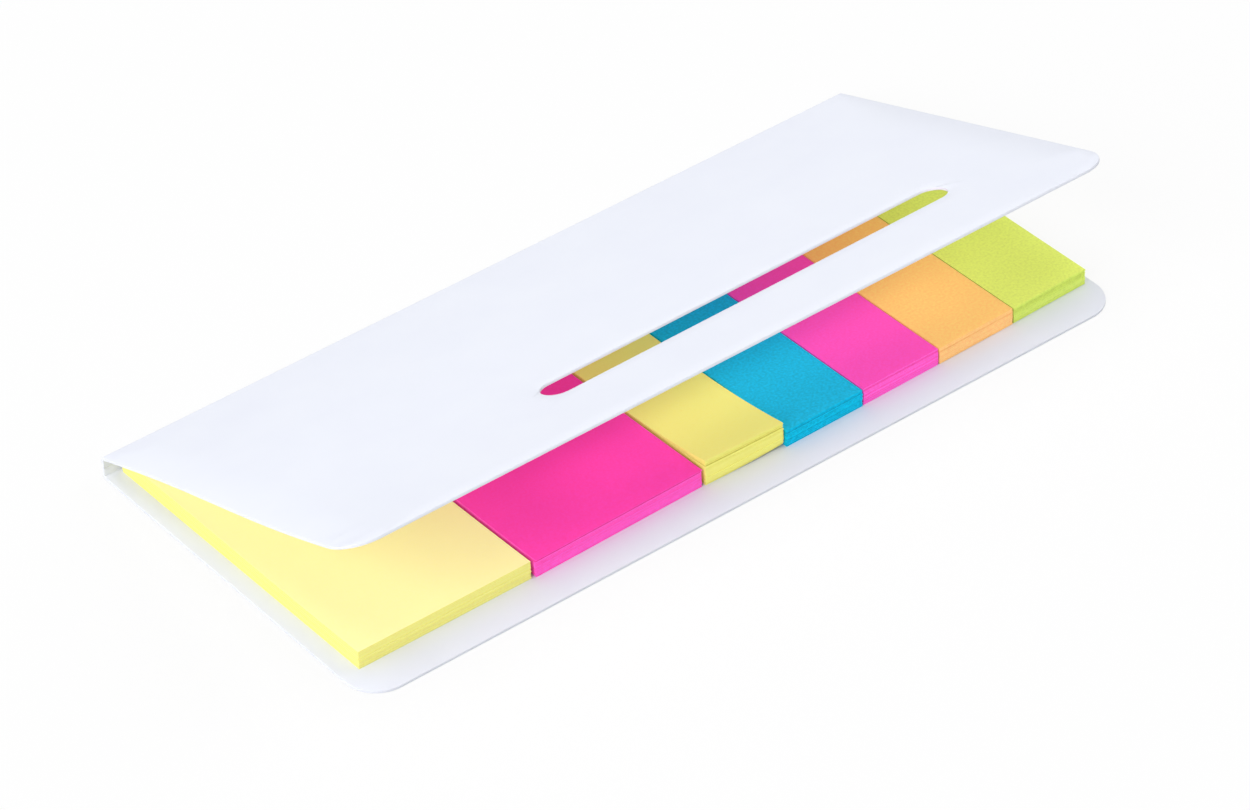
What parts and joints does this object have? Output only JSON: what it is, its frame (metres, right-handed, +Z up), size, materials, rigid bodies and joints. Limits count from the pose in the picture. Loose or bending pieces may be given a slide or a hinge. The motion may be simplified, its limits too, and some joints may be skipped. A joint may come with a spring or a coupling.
{
  "type": "sticky notes",
  "caption": "Row of coloured sticky note pads and narrow page flags gummed inside a creased white card folder, its front cover ajar with a long slot window.",
  "frame": {"origin": "on the table under the middle of the folder's outline", "axes": "+X along the folder's length towards the green flags, +Y from the free edges to the spine, +Z up"},
  "size_m": [0.1142, 0.053, 0.021],
  "materials": {
    "white_card": "smooth matt white card",
    "yellow_paper": "matt pastel yellow note paper",
    "pink_paper": "matt neon pink note paper",
    "blue_paper": "matt bright blue note paper",
    "orange_paper": "matt light orange note paper",
    "green_paper": "matt light green note paper"
  },
  "bodies": {
    "back": {"back_cover": "white_card", "large_yellow_pad": "yellow_paper", "large_pink_pad": "pink_paper", "yellow_flags": "yellow_paper", "blue_flags": "blue_paper", "pink_flags": "pink_paper", "orange_flags": "orange_paper", "green_flags": "green_paper"},
    "spine": {"spine_wall": "white_card"},
    "front": {"front_cover": "white_card"}
  },
  "joints": [
    {"name": "lower_crease", "type": "hinge", "parent": "back", "child": "spine", "pos_m": [0, 0.02633, 0.0002], "axis": [-1, 0, 0], "range_deg": [0, 90]},
    {"name": "upper_crease", "type": "hinge", "parent": "spine", "child": "front", "pos_m": [0, 0.02633, 0.003], "axis": [-1, 0, 0], "range_deg": [-17.2, 69.6]}
  ]
}
